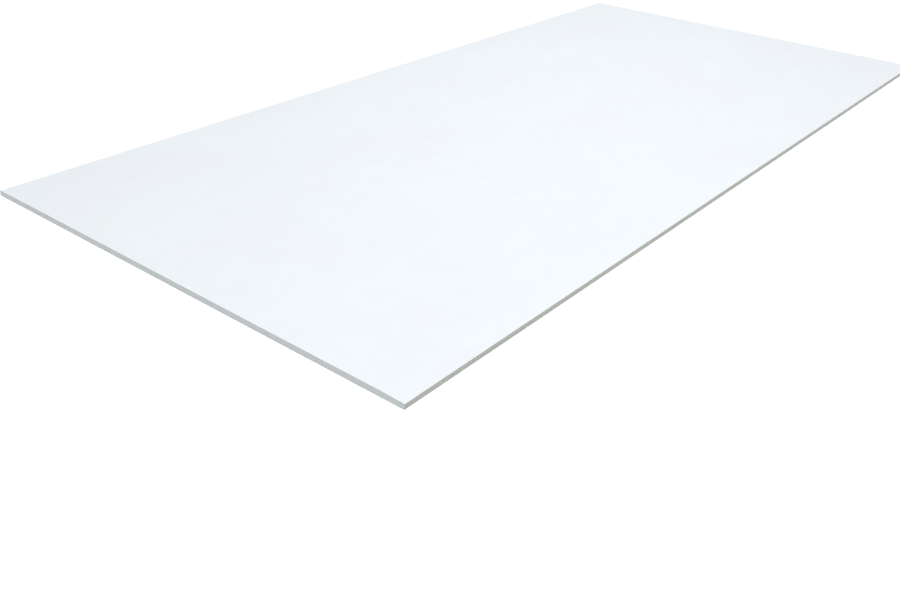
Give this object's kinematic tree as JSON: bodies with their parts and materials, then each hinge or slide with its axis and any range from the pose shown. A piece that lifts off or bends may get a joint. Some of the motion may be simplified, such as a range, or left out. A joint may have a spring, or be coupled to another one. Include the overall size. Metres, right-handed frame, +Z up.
{
  "type": "drywall sheet",
  "caption": "Flat rectangular gypsum board: a plaster core between white face paper and grey back paper, with tapered, paper-wrapped long edges and square-cut ends.",
  "frame": {"origin": "centre of the sheet's outline, on the surface it lies on", "axes": "+X along the length, +Y across the width, +Z up from the back to the white face"},
  "size_m": [2.4, 1.2, 0.0125],
  "materials": {
    "gypsum": "matt, finely porous cut plaster",
    "face_paper": "smooth matt white-lined paper, warm grey where it wraps the long edges",
    "back_paper": "matt uncoated grey recycled paper with visible fibres"
  },
  "bodies": {
    "root": {"gypsum_core": "gypsum", "face_paper": "face_paper", "back_paper": "back_paper"}
  },
  "joints": []
}
